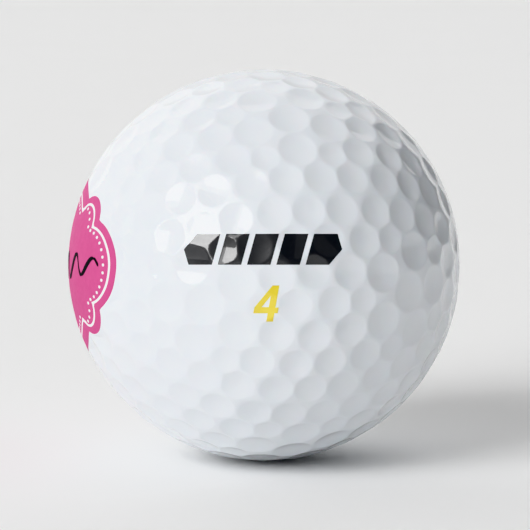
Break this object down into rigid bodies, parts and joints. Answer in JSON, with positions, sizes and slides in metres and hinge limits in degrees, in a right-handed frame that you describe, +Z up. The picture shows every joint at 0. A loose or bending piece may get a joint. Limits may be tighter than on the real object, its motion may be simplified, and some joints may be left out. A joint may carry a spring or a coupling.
{
  "type": "golf ball",
  "caption": "Dimpled golf ball: a solid rubber core in a glossy white moulded cover, printed with an alignment mark, a play number and a scalloped badge.",
  "frame": {"origin": "centre of the ball", "axes": "+Z up as the ball lies; the front print faces -Y and 8 degrees up, with +X to its reader's right; -X towards the badge"},
  "size_m": [0.0428, 0.0428, 0.0426],
  "materials": {
    "core_rubber": "dull moulded rubber",
    "cover_white": "white ionomer under white paint and a clear coat, glossy",
    "ink_black": "printed ink under the clear coat",
    "ink_yellow": "printed ink under the clear coat",
    "ink_pink": "printed ink, satin"
  },
  "bodies": {
    "root": {"core": "core_rubber", "cover_upper_half": "cover_white", "cover_lower_half": "cover_white", "front_mark_block_1": "ink_black", "front_mark_block_2": "ink_black", "front_mark_block_3": "ink_black", "front_mark_block_4": "ink_black", "front_mark_block_5": "ink_black", "rear_mark_block_1": "ink_black", "rear_mark_block_2": "ink_black", "rear_mark_block_3": "ink_black", "rear_mark_block_4": "ink_black", "rear_mark_block_5": "ink_black", "front_play_number": "ink_yellow", "rear_play_number": "ink_yellow", "badge_rim": "ink_pink", "badge_field": "ink_pink", "badge_flourish": "ink_black"}
  },
  "joints": []
}
